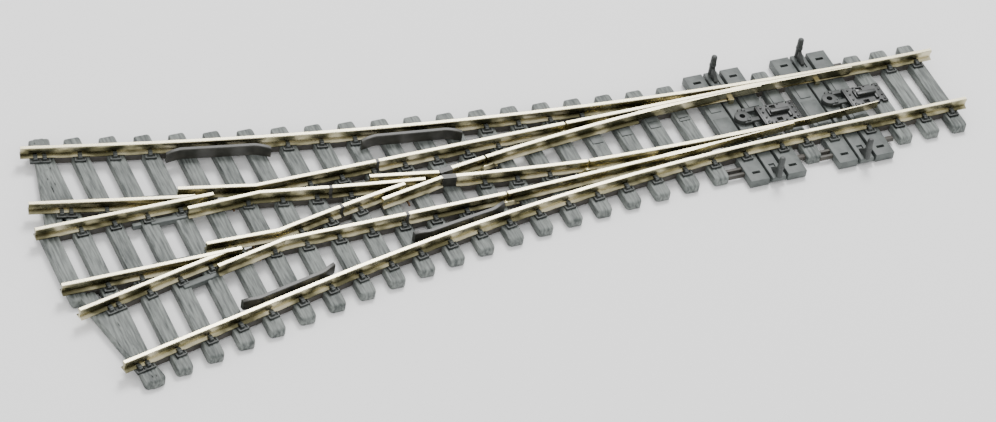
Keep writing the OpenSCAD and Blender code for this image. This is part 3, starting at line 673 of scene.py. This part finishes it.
# ---- heel clips ----
def make_clip(name, body, route, off, x):
    """Folded channel under a blade's heel, with rounded cheeks."""
    inner, sheet, half_l, cheek = FOOT_HALF + 0.13, 0.25, 2.6, 1.9
    z = Z_FOOT - 0.04 - sheet
    pile = Pile()
    m = place(route, off, x)
    pile.block((-half_l, -inner - sheet, z), (half_l, inner + sheet, z + sheet), 0.08, m)
    for s in (-1, 1):
        faces = []
        for y in (s * inner, s * (inner + sheet)):
            outline = [(-cheek, z + 0.1), (cheek, z + 0.1)]
            outline += [(cheek - 0.9 + 0.9 * math.cos(a), z + 0.45 + 0.85 * math.sin(a))
                        for a in (math.radians(d) for d in range(0, 91, 15))]
            outline += [(-cheek + 0.9 + 0.9 * math.cos(a), z + 0.45 + 0.85 * math.sin(a))
                        for a in (math.radians(d) for d in range(90, 181, 15))]
            faces.append([(px, y, pz) for px, pz in outline])
        pile.loft(faces, m)
    obj = pile.make(name + "_fold", body, CLIP)
    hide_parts(name)


# ---- stage ----
def make_stage():
    bpy.ops.mesh.primitive_plane_add(size=4, location=(0, 0, -0.0002))
    floor = bpy.context.object
    floor.name = "floor"
    mat, tree, shader = new_material("floor_pale")
    shader.inputs["Base Color"].default_value = (0.93, 0.93, 0.93, 1)
    shader.inputs["Roughness"].default_value = 0.9
    shader.inputs["Specular IOR Level"].default_value = 0.1
    floor.data.materials.append(mat)
    world = bpy.data.worlds.new("studio")
    bpy.context.scene.world = world
    world.use_nodes = True
    back = world.node_tree.nodes["Background"]
    back.inputs["Color"].default_value = (1, 1, 1, 1)
    back.inputs["Strength"].default_value = 1.15


def add_light(name, location, target, size, power):
    data = bpy.data.lights.new(name, "AREA")
    data.shape, data.size, data.energy = "DISK", size, power
    light = bpy.data.objects.new(name, data)
    light.location = location
    light.rotation_mode = "QUATERNION"
    light.rotation_quaternion = (Vector(target) - light.location).to_track_quat("-Z", "Y")
    bpy.context.collection.objects.link(light)


def make_camera():
    """Stands where the photograph was taken from, looking down at the turnout."""
    target = Vector((-0.01017, -0.01196, 0.003))
    distance, lens = 0.8618, 141.7
    azimuth, elevation, roll = (math.radians(a) for a in (-30.27, 42.94, 9.91))
    back = Vector((math.cos(elevation) * math.sin(azimuth),
                   -math.cos(elevation) * math.cos(azimuth), math.sin(elevation)))
    right = Vector((math.cos(azimuth), math.sin(azimuth), 0))
    up = back.cross(right)
    rolled_right = right * math.cos(roll) + up * math.sin(roll)
    rolled_up = back.cross(rolled_right)
    data = bpy.data.cameras.new("camera")
    data.lens, data.sensor_width = lens, 36
    data.clip_start, data.clip_end = 0.05, 20
    camera = bpy.data.objects.new("camera", data)
    bpy.context.collection.objects.link(camera)
    turn = Matrix((rolled_right, rolled_up, back)).transposed().to_4x4()
    camera.matrix_world = Matrix.Translation(target + back * distance) @ turn
    bpy.context.scene.camera = camera


make_camera()
make_stage()
add_light("key", (0.35, 0.55, 0.95), (0, 0, 0), 0.45, 12)
add_light("fill", (-0.6, -0.9, 0.7), (0, 0, 0), 0.9, 3)
finish_cad_nodes()
make_sleepers()
make_chairs()
make_webs()
make_plates()
make_slide_chairs()
make_frog_strips()
for side, side_name in ((1, "right"), (-1, "left")):
    for where, check_x in CHECK_RAIL_XS.items():
        make_check_rail(f"check_rail_{side_name}_{where}", side, check_x)
for bar_name, bar_place in BARS.items():
    make_tie_bar(bar_name, bar_place)
    make_cover(bar_name, bar_place)
make_clip("first_clip_right", "base", STRAIGHT, MID, FIRST_HEEL_X)
make_clip("first_clip_left", "base", RIGHT, -MID, FIRST_HEEL_X)
make_clip("second_clip_right", "second_right_clip", LEFT, MID, SECOND_HEEL_X)
make_clip("second_clip_left", "second_left_clip", STRAIGHT, -MID, SECOND_HEEL_X)
